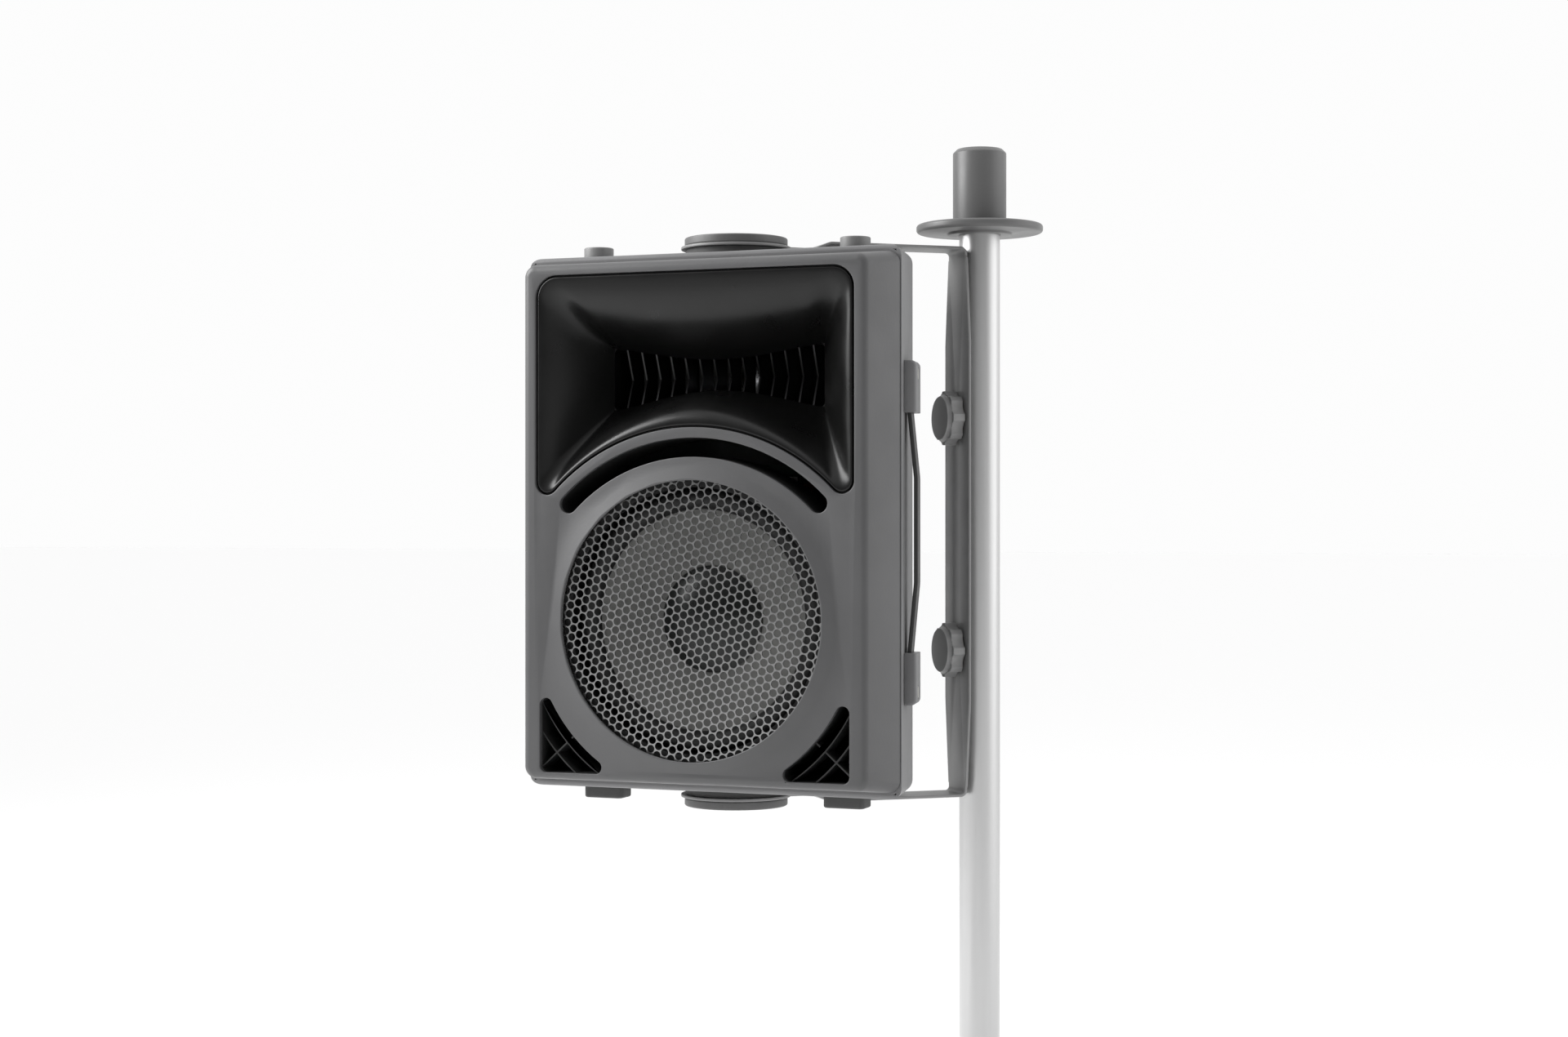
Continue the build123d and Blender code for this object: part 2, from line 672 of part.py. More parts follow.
with BuildPart() as hf_diaphragm:
    add(dome(0, THROAT_Z, 22.2, 129, 8, 0.6, 1))
    add(lathe(((21.6, 123), (22.2, 123), (22.2, 129.6), (21.6, 129.6)), z=THROAT_Z))
save(hf_diaphragm.part, "hf_diaphragm")

# --- woofer -------------------------------------------------------------------------------------

save(lathe(((89, 4), (BASKET_R, 4), (BASKET_R, 6), (89, 6)), z=WOOFER_Z), "woofer_gasket")

with BuildPart() as woofer_basket:
    add(
        lathe(
            (
                (88.5, 6), (BASKET_R, 6), (BASKET_R, 9.5), (91.5, 9.5), (91.5, 24), (56, 58), (46, 66),
                (46, 63), (22, 63), (22, 60), (43, 60), (52, 53.5), (52, 52.5), (54, 52.5), (88.5, 22.5),
            ),
            z=WOOFER_Z,
        )
    )
    with BuildSketch(facing(24, 0, WOOFER_Z)):
        with PolarLocations(70, 6):
            Rectangle(22, 34)
    extrude(amount=-40, mode=Mode.SUBTRACT)
    with BuildSketch(facing(0, 0, WOOFER_Z)):
        with PolarLocations(97.5, 6, start_angle=30):
            Circle(2.2)
    extrude(amount=-20, mode=Mode.SUBTRACT)
save(woofer_basket.part, "woofer_basket")

with BuildPart() as woofer_screws:
    with BuildSketch(facing(9.5, 0, WOOFER_Z)):
        with PolarLocations(97.5, 6, start_angle=30):
            Circle(4)
    extrude(amount=-2.4)
    with BuildSketch(facing(9.5, 0, WOOFER_Z)):
        with PolarLocations(97.5, 6, start_angle=30):
            Circle(2)
    extrude(amount=3.5)
save(woofer_screws.part, "woofer_screws")

with BuildPart() as woofer_surround:
    roll_r = (88.5 - CONE_R) / 2
    roll_mid = CONE_R + roll_r
    with BuildSketch(Plane(origin=at(0, 0, WOOFER_Z))):
        with BuildLine():
            ThreePointArc(
                (CONE_R, CONE_EDGE_DEPTH), (roll_mid, CONE_EDGE_DEPTH - roll_r), (88.5, CONE_EDGE_DEPTH)
            )
            Line((88.5, CONE_EDGE_DEPTH), (87.5, CONE_EDGE_DEPTH))
            ThreePointArc(
                (87.5, CONE_EDGE_DEPTH), (roll_mid, CONE_EDGE_DEPTH - roll_r + 1), (CONE_R + 1, CONE_EDGE_DEPTH)
            )
            Line((CONE_R + 1, CONE_EDGE_DEPTH), (CONE_R, CONE_EDGE_DEPTH))
        make_face()
    revolve(axis=Axis(at(0, 0, WOOFER_Z), (0, 1, 0)))
save(woofer_surround.part, "woofer_surround")

save(lathe(((20.2, 52), (52, 52), (52, 52.5), (20.2, 52.5)), z=WOOFER_Z), "woofer_spider")
save(lathe(((20.5, 66), (46, 66), (46, 72), (20.5, 72)), z=WOOFER_Z), "woofer_top_plate")
save(lathe(((27, 72), (52, 72), (52, 88), (27, 88)), z=WOOFER_Z), "woofer_magnet")
save(
    lathe(((6, 66), (18.3, 66), (18.3, 88), (48, 88), (48, 94), (6, 94)), z=WOOFER_Z), "woofer_pole_plate"
)

cone_slope = (COIL_DEPTH - CONE_EDGE_DEPTH) / (CONE_R - COIL_R)
cap_depth = CONE_EDGE_DEPTH + (CONE_R - CAP_R) * cone_slope
save(
    lathe(
        (
            (CONE_R, CONE_EDGE_DEPTH), (CONE_R, CONE_EDGE_DEPTH + 1), (COIL_R, COIL_DEPTH + 1),
            (COIL_R, COIL_DEPTH),
        ),
        z=WOOFER_Z,
    ),
    "woofer_cone",
)
save(dome(0, WOOFER_Z, CAP_R, cap_depth - 1, 9, 0.8, -1), "woofer_dust_cap")
save(lathe(((19, 45), (19.5, 45), (19.5, 77), (19, 77)), z=WOOFER_Z), "woofer_voice_coil")

# --- carrying handle on the right side ----------------------------------------------------------

HANDLE_DEPTH = 57.0
HANDLE_TOP = 106.6
HANDLE_BOTTOM = -120.9
CAP_LENGTH = 34.5
CAP_HEIGHT = 8.2
CAP_WIDTH = 23.0
STRAP_RISE = 7.2
STRAP_WIDTH = 13.0
STRAP_THICK = 2.8
CAP_END_R = 4.0

side_fall = (SHELL_HALF_W - WAIST_HALF_W) / (WAIST_DEPTH - SHELL_FRONT)
side_back = Vector(-side_fall, 1, 0).normalized()
side_out = Vector(1, side_fall, 0).normalized()
handle_seat = at(SHELL_HALF_W - side_fall * (HANDLE_DEPTH - SHELL_FRONT), HANDLE_DEPTH, 0)


def on_side(height, out=0.0):
    """A plane on the shell's right side wall, with X towards the back and its normal outwards."""
    return Plane(origin=handle_seat + side_out * out + Vector(0, 0, height), x_dir=side_back, z_dir=side_out)


def handle_profile(closed_gap):
    """The strap's bowed centre line, in height and distance out from the wall."""
    return (
        (HANDLE_TOP - 12, 3.0), (HANDLE_TOP - CAP_LENGTH, 3.0), (HANDLE_TOP - CAP_LENGTH - 43, closed_gap),
        (HANDLE_BOTTOM + CAP_LENGTH + 46, closed_gap), (HANDLE_BOTTOM + CAP_LENGTH, 3.0),
        (HANDLE_BOTTOM + 12, 3.0),
    )


def strap_solid(width, thickness):
    route_plane = Plane(origin=handle_seat, x_dir=(0, 0, 1), z_dir=side_back)
    with BuildPart() as strap:
        with BuildLine(route_plane) as route:
            FilletPolyline(*handle_profile(STRAP_RISE), radius=30)
        with BuildSketch(Plane(origin=route.line @ 0, x_dir=side_back, z_dir=(0, 0, -1))):
            Rectangle(width, thickness)
        sweep()
    return strap.part


with BuildPart() as handle_strap:
    add(strap_solid(STRAP_WIDTH, STRAP_THICK))
    for height in (HANDLE_TOP - 8.7, HANDLE_BOTTOM + 8.4):
        with BuildSketch(on_side(height)):
            Circle(2.4)
        extrude(amount=6, mode=Mode.SUBTRACT)
save(handle_strap.part, "handle_strap")


def handle_cap(middle, screw_height):
    """A hollow end cap over the strap's end, screwed to the wall and rounded off at its outer end."""
    with BuildPart() as cap:
        with BuildSketch(on_side(middle)):
            Rectangle(CAP_WIDTH, CAP_LENGTH)
        extrude(amount=CAP_HEIGHT)
        rim = cap.faces().sort_by(Axis(handle_seat, side_out))[-1].edges()
        outer_end = rim.sort_by(Axis.Z)[-1 if screw_height > middle else 0]
        fillet(outer_end, CAP_END_R)
        rim = cap.faces().sort_by(Axis(handle_seat, side_out))[-1].edges()
        fillet([edge for edge in rim if abs(edge.tangent_at(0.5).Z) > 0.9], 2)
        add(strap_solid(STRAP_WIDTH + 0.4, STRAP_THICK + 0.4), mode=Mode.SUBTRACT)
        with BuildSketch(on_side(screw_height)):
            Circle(2.4)
        extrude(amount=CAP_HEIGHT + 1, mode=Mode.SUBTRACT)
        with BuildSketch(on_side(screw_height, CAP_HEIGHT - 1.8)):
            Circle(4.2)
        extrude(amount=3, mode=Mode.SUBTRACT)
    return cap.part


save(handle_cap(HANDLE_TOP - CAP_LENGTH / 2, HANDLE_TOP - 8.7), "handle_cap_upper")
save(handle_cap(HANDLE_BOTTOM + CAP_LENGTH / 2, HANDLE_BOTTOM + 8.4), "handle_cap_lower")

with BuildPart() as handle_screws:
    for height in (HANDLE_TOP - 8.7, HANDLE_BOTTOM + 8.4):
        with BuildSketch(on_side(height, CAP_HEIGHT - 1.8)):
            Circle(3.9)
        extrude(amount=1.5)
        with BuildSketch(on_side(height)):
            Circle(2.2)
        extrude(amount=CAP_HEIGHT - 1.8)
save(handle_screws.part, "handle_screws")

# --- stacking buttons on top and rubber feet below ----------------------------------------------

with BuildPart() as top_buttons:
    with BuildSketch(Plane(origin=at(0, 0, HALF_H))):
        with Locations((-94.6, 58.5), (94.6, 58.5), (-56, 165), (56, 165)):
            Circle(10.25)
    extrude(amount=8.2)
    fillet(top_buttons.edges().group_by(Axis.Z)[-1], 1)
save(top_buttons.part, "top_buttons")

with BuildPart() as feet:
    with BuildSketch(Plane(origin=at(0, 0, -HALF_H))):
        with Locations((-88.3, 60), (88.3, 60), (-56, 165), (56, 165)):
            RectangleRounded(29, 19, 4)
    extrude(amount=-9.2)
    fillet(feet.edges().group_by(Axis.Z)[0], 1.5)
save(feet.part, "feet")

# --- connector panel and crossover --------------------------------------------------------------

PANEL_FACE = BACK_DEPTH - PANEL_POCKET
SOCKET_X = 22.0

with BuildPart() as connector_plate:
    with BuildSketch(facing(PANEL_FACE, 0, PANEL_Z)):
        RectangleRounded(108, 68, 4)
        with GridLocations(2 * SOCKET_X, 0, 2, 1):
            Circle(13.4, mode=Mode.SUBTRACT)
        with GridLocations(94, 54, 2, 2):
            Circle(1.8, mode=Mode.SUBTRACT)
    extrude(amount=-2)
save(connector_plate.part, "connector_plate")

with BuildPart() as connector_plate_screws:
    with BuildSketch(facing(PANEL_FACE + 2, 0, PANEL_Z)):
        with GridLocations(94, 54, 2, 2):
            Circle(3.2)
    extrude(amount=-1.8)
    with BuildSketch(facing(PANEL_FACE + 2, 0, PANEL_Z)):
        with GridLocations(94, 54, 2, 2):
            Circle(1.7)
    extrude(amount=2)
save(connector_plate_screws.part, "connector_plate_screws")


def socket(x):
    """A round twist-lock socket: flanged cup with a short contact post."""
    return lathe(
        (
            (4.5, 194), (4.5, 180), (11.2, 180), (11.2, 206), (15.5, 206), (15.5, 204), (13.2, 204),
            (13.2, 176), (0, 176), (0, 194),
        ),
        x, PANEL_Z,
    )


save(socket(-SOCKET_X), "input_socket")
save(socket(SOCKET_X), "link_socket")

with BuildPart() as crossover_board:
    with BuildSketch(facing(BOARD_DEPTH, 0, BOARD_Z)):
        Rectangle(108, 68)
    extrude(amount=-1.6)
save(crossover_board.part, "crossover_board")

with BuildPart() as crossover_coils:
    with BuildSketch(facing(BOARD_DEPTH, 0, BOARD_Z + 10)):
        with GridLocations(46, 0, 2, 1):
            Circle(14)
            Circle(6, mode=Mode.SUBTRACT)
    extrude(amount=16)
save(crossover_coils.part, "crossover_coils")

with BuildPart() as crossover_capacitors:
    with BuildSketch(facing(BOARD_DEPTH, 0, BOARD_Z - 18)):
        with GridLocations(24, 0, 3, 1):
            Circle(7)
    extrude(amount=26)
save(crossover_capacitors.part, "crossover_capacitors")

with BuildPart() as crossover_resistors:
    with BuildSketch(facing(BOARD_DEPTH, 0, BOARD_Z + 10)):
        with GridLocations(0, 12, 1, 3):
            Rectangle(9, 6)
    extrude(amount=9)
save(crossover_resistors.part, "crossover_resistors")

with BuildPart() as damping_pad:
    with BuildSketch(facing(BACK_DEPTH - SHELL_WALL - 0.5, 0, 112)):
        RectangleRounded(124, 96, 6)
    extrude(amount=20)
save(damping_pad.part, "damping_pad")
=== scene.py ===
import json
import math

import bmesh
import bpy
from mathutils import Matrix, Vector


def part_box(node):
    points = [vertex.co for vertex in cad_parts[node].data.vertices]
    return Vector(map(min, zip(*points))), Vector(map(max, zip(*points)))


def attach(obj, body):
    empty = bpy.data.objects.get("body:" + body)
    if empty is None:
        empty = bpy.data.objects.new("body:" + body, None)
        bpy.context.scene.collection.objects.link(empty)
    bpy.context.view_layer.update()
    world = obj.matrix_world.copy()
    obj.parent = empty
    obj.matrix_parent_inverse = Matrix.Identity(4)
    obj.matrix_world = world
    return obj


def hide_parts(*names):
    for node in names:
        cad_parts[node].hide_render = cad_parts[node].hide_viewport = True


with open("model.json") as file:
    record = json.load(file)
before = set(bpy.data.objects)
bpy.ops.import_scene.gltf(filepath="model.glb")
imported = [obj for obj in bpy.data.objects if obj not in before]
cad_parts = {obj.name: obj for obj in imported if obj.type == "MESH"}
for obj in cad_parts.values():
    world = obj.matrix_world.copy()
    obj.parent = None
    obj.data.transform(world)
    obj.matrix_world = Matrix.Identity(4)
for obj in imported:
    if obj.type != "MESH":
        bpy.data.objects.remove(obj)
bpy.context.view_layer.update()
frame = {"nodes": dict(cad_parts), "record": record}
NODES = frame["nodes"]
RECORD = frame["record"]
BODY_OF = {name: body for body, names in RECORD["behaviour"]["bodies"].items() for name in names}
SLOT_OF = {row["node"]: row["material_slot"] for row in RECORD["subparts"]}
MM = 0.001

# %% [markdown]
# ## Where things are
# The cabinet's front face is a flat plane that looks along -Y, and almost every part of the speaker is
# easiest to describe from the middle of that face: so many millimetres right, back and up. The pivot
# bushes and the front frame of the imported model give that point, so it isn't typed in twice.

# %% The cabinet's own coordinates
insert_low, insert_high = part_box("pivot_insert_top")
frame_low, frame_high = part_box("front_frame")
pivot = (insert_low + insert_high) / 2
COLLAR_RISE = 4.0
CABINET_MIDDLE = Vector((pivot.x, frame_low.y + COLLAR_RISE * MM, (frame_low.z + frame_high.z) / 2))
print("front face centre, mm:", [round(v / MM, 1) for v in CABINET_MIDDLE])


def at(x, depth, height):
    """Metres in the row frame for a point in millimetres from the front face's centre."""
    return CABINET_MIDDLE + Vector((x, depth, height)) * MM


# %% [markdown]
# ## Camera
# A level camera at the height of the cabinet's middle, a metre and a half away and a little to the
# right, so the handle's side shows. A 56 mm lens keeps the verticals upright and the perspective mild,
# the way a catalogue picture is taken.

# %% Camera
camera_data = bpy.data.cameras.new("catalogue_camera")
camera = bpy.data.objects.new("catalogue_camera", camera_data)
bpy.context.scene.collection.objects.link(camera)
bpy.context.scene.camera = camera
camera.location = at(643.3, -1488.0, 1.5)
camera.rotation_euler = (math.radians(90), 0, math.radians(21.2))
camera_data.sensor_width = 36
camera_data.lens = 56.38
camera_data.shift_y = 0.0007
camera_data.clip_end = 60
print("camera at", [round(v, 3) for v in camera.location])

# %% [markdown]
# ## Light
# A white studio. Behind the object, above it and below it everything is white, while the room on the
# camera's side is dimmer: that is what turns the bevels bright against a darker face, and what draws
# the soft bands down the satin pole. A large lamp high on the left and one behind on the right add
# the broad highlights along the horn's lip and the cabinet's edges.


# %% One helper for every node tree
def node(tree, kind, settings=None, **links):
    """Adds a node, sets its properties and inputs, and links the inputs that are given sockets.
    An input is named in lower case with underscores; a trailing number picks one of several alike."""
    made = tree.nodes.new(kind)
    for key, value in (settings or {}).items():
        setattr(made, key, value)
    for key, value in links.items():
        name = key.rstrip("0123456789")
        alike = [s for s in made.inputs if s.enabled and s.name.lower().replace(" ", "_") == name]
        socket = alike[int(key[len(name):] or 0)]
        if isinstance(value, bpy.types.NodeSocket):
            tree.links.new(value, socket)
        else:
            socket.default_value = value
    return made


# %% World
world = bpy.data.worlds.new("white_studio")
bpy.context.scene.world = world
world.use_nodes = True
sky = world.node_tree
sky.nodes.clear()
direction = node(sky, "ShaderNodeTexCoord").outputs["Generated"]
way = node(sky, "ShaderNodeSeparateXYZ", vector=direction)
front_to_back = node(sky, "ShaderNodeMapRange", value=way.outputs["Y"], from_min=-0.8, from_max=0.6,
                     to_min=0.11, to_max=0.95).outputs[0]
left_to_right = node(sky, "ShaderNodeMapRange", value=way.outputs["X"], from_min=-0.9, from_max=0.9,
                     to_min=0.75, to_max=1.25).outputs[0]
height_squared = node(sky, "ShaderNodeMath", {"operation": "MULTIPLY"}, value=way.outputs["Z"],
                      value1=way.outputs["Z"]).outputs[0]
up_or_down = node(sky, "ShaderNodeMapRange", value=way.outputs["Z"], from_min=-1.0, from_max=1.0,
                  to_min=0.4, to_max=1.0).outputs[0]
sideways = node(sky, "ShaderNodeMath", {"operation": "MULTIPLY"}, value=front_to_back, value1=left_to_right)
light = node(sky, "ShaderNodeMath", {"operation": "MULTIPLY_ADD"}, value=height_squared, value1=up_or_down,
             value2=sideways.outputs[0])
BACKDROP_WHITE = 0.98
seen = node(sky, "ShaderNodeLightPath").outputs["Is Camera Ray"]
strength = node(sky, "ShaderNodeMix", {"data_type": "FLOAT"}, factor=seen, a=light.outputs[0],
                b=BACKDROP_WHITE)
backdrop = node(sky, "ShaderNodeBackground", color=(1, 1, 1, 1), strength=strength.outputs[0])
node(sky, "ShaderNodeOutputWorld", surface=backdrop.outputs[0])
bpy.context.scene.view_settings.view_transform = "Standard"


# %% Lamps
def softbox(name, place, target, size, power):
    """A square area lamp that looks at a target."""
    data = bpy.data.lights.new(name, "AREA")
    data.size = size
    data.energy = power
    lamp = bpy.data.objects.new(name, data)
    bpy.context.scene.collection.objects.link(lamp)
    lamp.location = place
    lamp.rotation_mode = "QUATERNION"
    lamp.rotation_quaternion = (Vector(target) - Vector(place)).to_track_quat("-Z", "Y")
    return lamp


# Name: place and target in cabinet millimetres, size in metres, power in watts.
LAMPS = {
    "upper_left_softbox": ((-950, -330, 620), (0, 20, 60), 0.8, 20),
    "back_right_softbox": ((1500, 500, 300), (0, 100, 0), 1.2, 3.5),
}
for lamp_name, (place, target, size, power) in LAMPS.items():
    softbox(lamp_name, at(*place), at(*target), size, power)
print("lamps:", len(LAMPS))


# %% [markdown]
# ## Materials
# Everything is near-neutral grey, so the finishes have to do the work. The cabinet is injection-moulded
# ABS from a spark-eroded tool: matt, with a broad soft sheen. The horn is the same plastic from a
# smoother tool, nearly black and satin. Steel parts are powder-coated, galvanised or plated. Colours
# are written as sRGB hex, as a colour card gives them, and one function turns them to linear.


# %% Colour and the base of every material
def linear(hex_colour):
    """Linear RGBA from an sRGB hex string."""
    channels = [int(hex_colour[i:i + 2], 16) / 255 for i in (1, 3, 5)]
    return tuple(c / 12.92 if c <= 0.04045 else ((c + 0.055) / 1.055) ** 2.4 for c in channels) + (1.0,)


def new_material(name, colour, roughness, metallic=0.0, ior=1.5):
    """A Principled material with its tree, ready for a pattern to be linked in."""
    made = bpy.data.materials.new(name)
    made.use_nodes = True
    shader = made.node_tree.nodes["Principled BSDF"]
    shader.inputs["Base Color"].default_value = linear(colour)
    shader.inputs["Roughness"].default_value = roughness
    shader.inputs["Metallic"].default_value = metallic
    if not metallic:
        shader.inputs["IOR"].default_value = ior
    made.diffuse_color = linear(colour)
    return made, made.node_tree, shader


def pattern(tree, pitch, detail=2.0, stretch=(1, 1, 1)):
    """Noise whose patches are about one pitch across, in millimetres, on Object coordinates."""
    where = node(tree, "ShaderNodeTexCoord").outputs["Object"]
    scale = [s / (pitch * MM) for s in stretch]
    placed = node(tree, "ShaderNodeMapping", vector=where, scale=scale).outputs[0]
    return node(tree, "ShaderNodeTexNoise", vector=placed, scale=1.0, detail=detail).outputs[0]


def spread(tree, value, low, high):
    """Stretches the useful middle of a noise to a range."""
    return node(tree, "ShaderNodeMapRange", value=value, from_min=0.3, from_max=0.7,
                to_min=low, to_max=high).outputs[0]


def mottle(tree, shader, colour, amount, pitch):
    """Slight uneven lightness in the base colour, as pigment and handling leave it."""
    shade = spread(tree, pattern(tree, pitch, 3.0), 1 - amount, 1 + amount)
    tinted = node(tree, "ShaderNodeVectorMath", {"operation": "SCALE"}, vector=linear(colour)[:3],
                  scale=shade)
    tree.links.new(tinted.outputs[0], shader.inputs["Base Color"])


def texture(tree, shader, pitch, height):
    """A fine all-over bump: spark texture, cast texture or orange peel."""
    bump = node(tree, "ShaderNodeBump", height=pattern(tree, pitch), distance=height * MM, strength=1.0)
    tree.links.new(bump.outputs[0], shader.inputs["Normal"])


# Uneven pigment runs over some 45 mm and uneven polish over 20 mm.
SHADE_PITCH = 45
SHEEN_PITCH = 20
SHEEN_SPREAD = 0.04


def moulded(name, colour, rough, pitch=1.8, height=0.05, shade=0.05, ior=1.5):
    """Injection-moulded plastic or rubber. A pitch of 0 is a polished tool, with no texture."""
    made, tree, shader = new_material(name, colour, rough, ior=ior)
    mottle(tree, shader, colour, shade, SHADE_PITCH)
    sheen = spread(tree, pattern(tree, SHEEN_PITCH, 3.0), rough - SHEEN_SPREAD, rough + SHEEN_SPREAD)
    tree.links.new(sheen, shader.inputs["Roughness"])
    if pitch:
        texture(tree, shader, pitch, height)
    return made


def plated(name, colour, low, high, pitch, stretch=(1, 1, 1)):
    """Plated or polished metal: roughness follows the way it was drawn, rolled or dipped."""
    made, tree, shader = new_material(name, colour, low, metallic=1.0)
    tree.links.new(spread(tree, pattern(tree, pitch, 3.0, stretch), low, high), shader.inputs["Roughness"])
    return made


# %% Plastics and rubbers
# The real spark texture is about 0.3 mm across. It is drawn at 1.8 mm, the finest that still shows.
FINISH = {
    # The front frame is the same ABS as the shell. Its grey is set darker than the shell's as painted shade
    # for the dim light that reaches the face.
    "frame_plastic": moulded("spark_textured_abs_front", "#505051", 0.48),
    "shell_plastic": moulded("spark_textured_abs_shell", "#6e6e6f", 0.5),
    "cap_plastic": moulded("spark_textured_abs_caps", "#6a6a6b", 0.45),
    "button_plastic": moulded("moulded_pp_buttons", "#7c7c7c", 0.5),
    "wheel_plastic": moulded("moulded_nylon_wheels", "#5e5e5e", 0.5),
    "knob_plastic": moulded("moulded_nylon_knobs", "#8c8c8c", 0.5, 0),
    "spigot_nylon": moulded("turned_nylon_spigot", "#606060", 0.4, 0),
    "port_plastic": moulded("black_abs_ports", "#1c1c1c", 0.6),
    "socket_plastic": moulded("black_nylon_sockets", "#17171a", 0.4, 0),
    # Satin black ABS of the horn: a smooth tool, so it mirrors broad soft highlights.
    "horn_plastic": moulded("satin_black_abs_horn", "#0d0d0d", 0.31, 0, 0, 0.03, 1.38),
    "foot_rubber": moulded("moulded_rubber_feet", "#484848", 0.7),
    "strap_rubber": moulded("ribbed_rubber_strap", "#262626", 0.4, 0),
    "surround_rubber": moulded("doped_cloth_surround", "#1a1a1a", 0.55, 0),
    "magnet_ferrite": moulded("ground_ferrite", "#2b2b2d", 0.6),
}
print("plastics and rubbers:", len(FINISH))

# %% Painted and plated metals
FINISH.update({
    "yoke_paint": moulded("powder_coated_steel_yoke", "#808080", 0.45, 2.2, 0.05),
    "basket_paint": moulded("black_enamelled_steel", "#101010", 0.4, 0),
    # Satin chrome, polished lengthwise as the tube was drawn.
    "pole_steel": plated("satin_chrome_tube", "#c6c6c6", 0.32, 0.4, 3.0, (1, 1, 0.02)),
    "zinc_steel": plated("zinc_plated_steel", "#b4b4ae", 0.3, 0.45, 3.0),
    "grille_steel": plated("galvanised_perforated_sheet", "#989898", 0.22, 0.36, 6.0),
    "diaphragm_foil": plated("formed_aluminium_foil", "#c9c9cc", 0.2, 0.3, 4.0),
    "copper_wire": plated("enamelled_copper_wire", "#4a2f22", 0.3, 0.4, 2.0),
})

# %% Paper, cloth and board
FINISH.update({
    "cone_paper": moulded("pressed_paper_cone", "#6c6c6a", 0.7, 2.0, 0.2, 0.12),
    "cap_paper": moulded("doped_cloth_cap", "#161817", 0.3, 0, 0, 0.1),
    "spider_cloth": moulded("resin_dipped_cloth", "#a08050", 0.85),
    "damping_felt": moulded("needled_polyester", "#8a8a88", 0.95, 2.5, 0.5),
    "circuit_board": moulded("glass_epoxy_board", "#1f4a2c", 0.4, 0),
    "capacitor_film": moulded("wrapped_film_capacitor", "#a08a2c", 0.4, 0),
    "resistor_ceramic": moulded("cement_resistor", "#d8d8d2", 0.8),
})
for name, slot_name in SLOT_OF.items():
    NODES[name].data.materials.clear()
    NODES[name].data.materials.append(FINISH[slot_name])
print("finishes:", len(FINISH), "on", len(SLOT_OF), "nodes")


# %% [markdown]
# ## Meshes that stand for a CAD node
# A finished piece is a plain mesh at the origin, with its place in its vertices. Each one below is
# either built row by row, or is a copy of a CAD node with its corners rounded; it then takes over the
# node's finish and rides on the node's body.


# %% Helpers for meshes
def new_piece(name, mesh):
    piece = bpy.data.objects.new(name, mesh)
    bpy.context.scene.collection.objects.link(piece)
    return piece


def bake_modifiers(piece):
    """Turns a piece's modifiers into a plain mesh."""
    bpy.context.view_layer.update()
    graph = bpy.context.evaluated_depsgraph_get()
    baked = bpy.data.meshes.new_from_object(piece.evaluated_get(graph))
    piece.modifiers.clear()
    piece.data = baked
    return baked


def finish_piece(piece, node_name, smooth_below=40.0):
    """Bakes a piece's modifiers, then puts it in place of its CAD node."""
    baked = bake_modifiers(piece)
    baked.materials.clear()
    baked.materials.append(FINISH[SLOT_OF[node_name]])
    baked.polygons.foreach_set("material_index", [0] * len(baked.polygons))
    baked.shade_smooth()
    baked.set_sharp_from_angle(angle=math.radians(smooth_below))
    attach(piece, BODY_OF[node_name])
    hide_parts(node_name)
    print(piece.name, "faces:", len(baked.polygons))
    return piece


def ring_mesh(name, rows, close_rows=False):
    """A mesh from rows of points; each row is a closed ring, and the rows may close on themselves."""
    around = len(rows[0])
    last = len(rows) if close_rows else len(rows) - 1
    faces = []
    for row in range(last):
        here, there = row * around, (row + 1) % len(rows) * around
        for step in range(around):
            after = (step + 1) % around
            faces.append((here + step, here + after, there + after, there + step))
    mesh = bpy.data.meshes.new(name)
    mesh.from_pydata([point for row in rows for point in row], [], faces)
    shape = bmesh.new()
    shape.from_mesh(mesh)
    bmesh.ops.remove_doubles(shape, verts=shape.verts, dist=0.005 * MM)
    bmesh.ops.recalc_face_normals(shape, faces=shape.faces)
    shape.to_mesh(mesh)
    shape.free()
    return mesh


def rounded_copy(node_name, radius, corner=40.0, segments=3):
    """A copy of a CAD node, merged and with its sharp corners rounded, in place of the node."""
    mesh = bpy.data.meshes.new(node_name + "_rounded")
    shape = bmesh.new()
    shape.from_mesh(NODES[node_name].data)
    bmesh.ops.remove_doubles(shape, verts=shape.verts, dist=0.002 * MM)
    bmesh.ops.dissolve_limit(shape, angle_limit=math.radians(0.8), verts=shape.verts, edges=shape.edges)
    shape.to_mesh(mesh)
    shape.free()
    piece = new_piece(node_name + "_rounded", mesh)
    corners = piece.modifiers.new("corners", "BEVEL")
    corners.width = radius * MM
    corners.segments = segments
    corners.limit_method = "ANGLE"
    corners.angle_limit = math.radians(corner)
    corners.use_clamp_overlap = False
    return finish_piece(piece, node_name)


# %% [markdown]
# ## The horn
# The horn is one thin moulding: from a black gap all round its mouth the surface rolls over a lip and
# runs back to a slot full of vanes. The mouth is a rectangle with its lower edge cut by a wide arc, so
# two legs reach down beside the woofer. The slot bulges inwards above and below, like a bow tie.
# Neither a box nor a loft between two flat outlines gives that, so the surface is laid out as rings of
# points. Each ring has four runs, top, right, arc and left, that meet in the corners: this keeps the
# soft ridges running from the slot's corners to the mouth's, where the real ones are.

# %% Horn sizes, in millimetres
MOUTH_HALF_W = 114.3
MOUTH_TOP = 166.4
MOUTH_CORNER = 15.0
LEG_CORNER = 8.5
ARC_Z = -77.0
ARC_R = 139.6
MOUTH_GAP = 1.3
SLOT_HALF_W = 77.0
SLOT_Z = 97.8
SLOT_HALF_H = 21.1
SLOT_DEPTH = 47.0
BULGE_ABOVE = 8.9
BULGE_BELOW = 12.3
RUNS = (72, 48, 96, 48)


